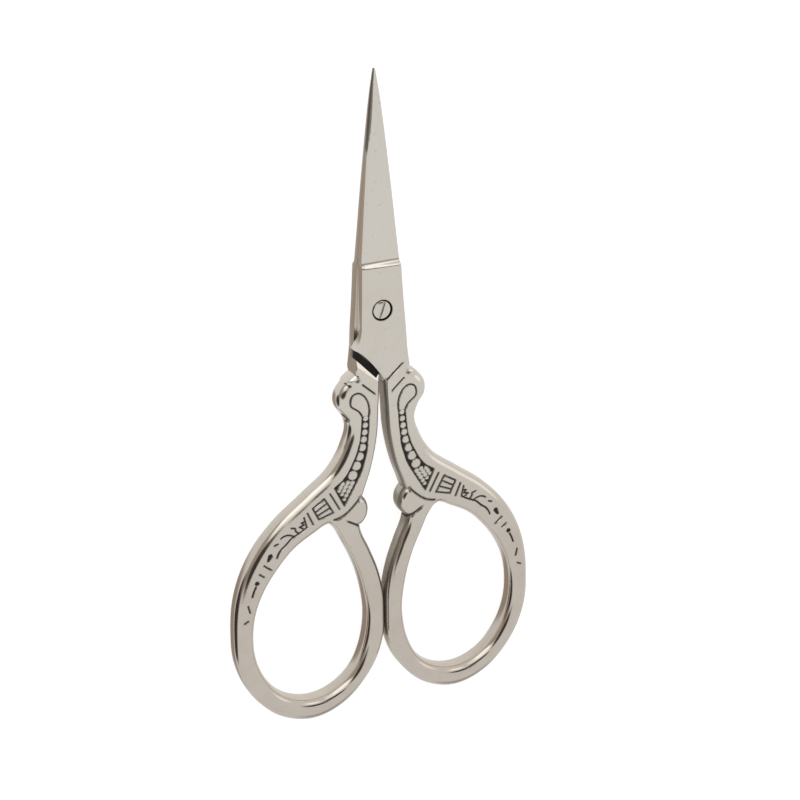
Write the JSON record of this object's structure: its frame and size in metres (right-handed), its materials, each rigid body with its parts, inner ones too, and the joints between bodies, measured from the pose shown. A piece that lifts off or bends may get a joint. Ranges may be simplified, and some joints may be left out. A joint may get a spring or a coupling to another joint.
{
  "type": "embroidery scissors",
  "caption": "Small pointed scissors with scroll-shaped handles, oval finger rings and an engraved bead-and-line ornament, turning on a slotted pivot screw.",
  "frame": {"origin": "on the pivot axis, in the plane of the back that the closed scissors rest on", "axes": "+X to the right, +Y towards the tips, +Z out of the front, the side with the screw's head"},
  "size_m": [0.0574, 0.117, 0.0042],
  "materials": {
    "plated_steel": "polished handles with black in the engraving, finely ground blade faces",
    "screw_steel": "polished, lightly worn head"
  },
  "bodies": {
    "back": {"back_half": "plated_steel", "pivot_screw": "screw_steel"},
    "front": {"front_half": "plated_steel"}
  },
  "joints": [
    {"name": "blade_pivot", "type": "hinge", "parent": "back", "child": "front", "pos_m": [0, 0, 0.0021], "axis": [0, 0, 1], "range_deg": [0, 70]}
  ]
}
